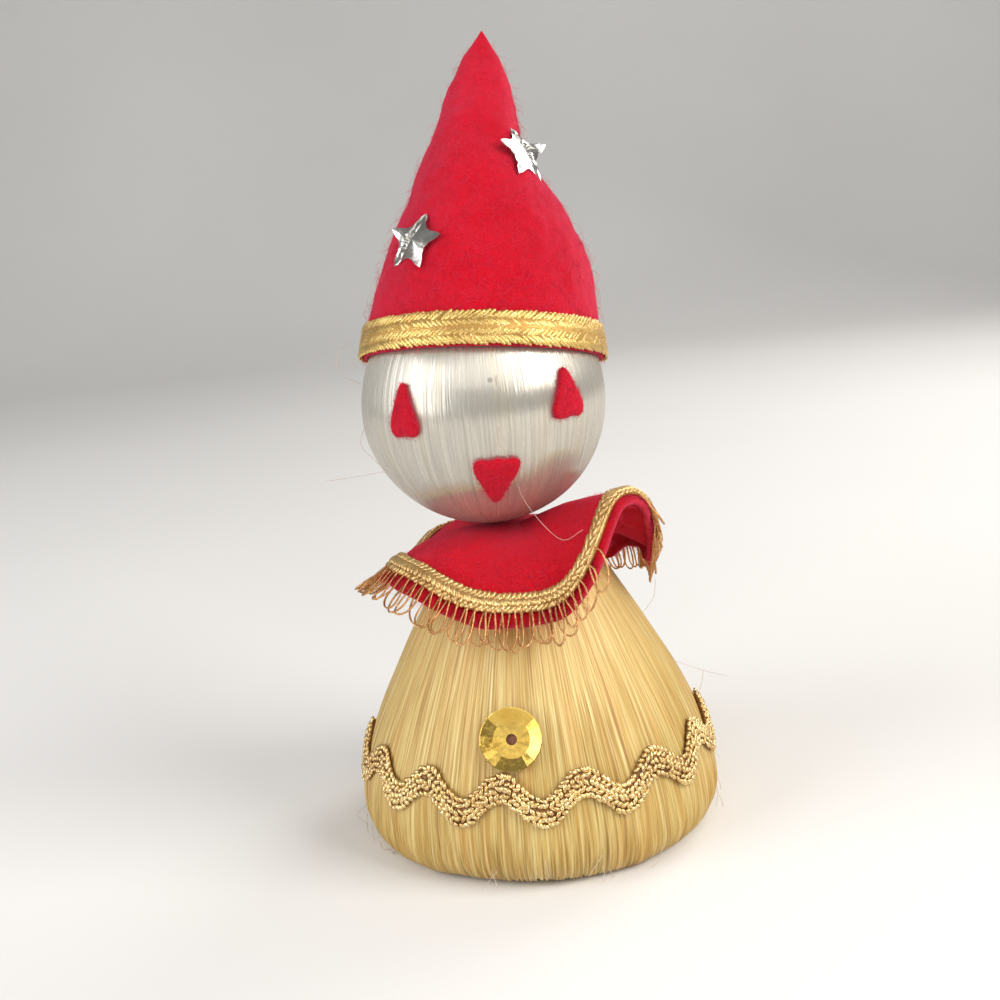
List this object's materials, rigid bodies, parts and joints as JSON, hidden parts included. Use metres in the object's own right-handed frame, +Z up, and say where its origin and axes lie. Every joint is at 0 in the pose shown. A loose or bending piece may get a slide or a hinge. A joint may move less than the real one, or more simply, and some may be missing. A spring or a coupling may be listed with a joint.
{
  "type": "clown christmas ornament",
  "caption": "Small clown tree ornament: satin-thread ball head on a bell body, draped felt collar with looped gold fringe, rick-rack hem and a pointed red felt hat with stars",
  "frame": {"origin": "centre of the flat underside of the bell body", "axes": "+Z is up the body's axis, -Y is the way the face looks, and +X is to the right as the face is seen"},
  "size_m": [0.046, 0.0466, 0.0987],
  "materials": {
    "yellow_satin": "pale yellow satin thread laid side by side up the bell, glossy, with orange streaks",
    "white_satin": "off-white satin thread wound from pole to pole, glossy across the threads",
    "red_felt": "matt red craft felt with a short fuzz of loose fibres",
    "gold_braid": "flat plaited metallic gold braid with a looped wire fringe on the collar",
    "gold_rickrack": "waved rick-rack woven from metallic gold yarn, slightly tarnished",
    "gold_sequin": "mirror-bright gold film, pressed into a faceted cup",
    "silver_sequin": "mirror-bright silver film, creased along the points"
  },
  "bodies": {
    "root": {"body": "yellow_satin", "head": "white_satin", "eye_left": "red_felt", "eye_right": "red_felt", "mouth": "red_felt", "collar": "red_felt", "collar_trim": "gold_braid", "rickrack": "gold_rickrack", "belly_sequin": "gold_sequin", "hat": "red_felt", "hat_band": "gold_braid", "star_left": "silver_sequin", "star_right": "silver_sequin", "star_back": "silver_sequin"}
  },
  "joints": []
}
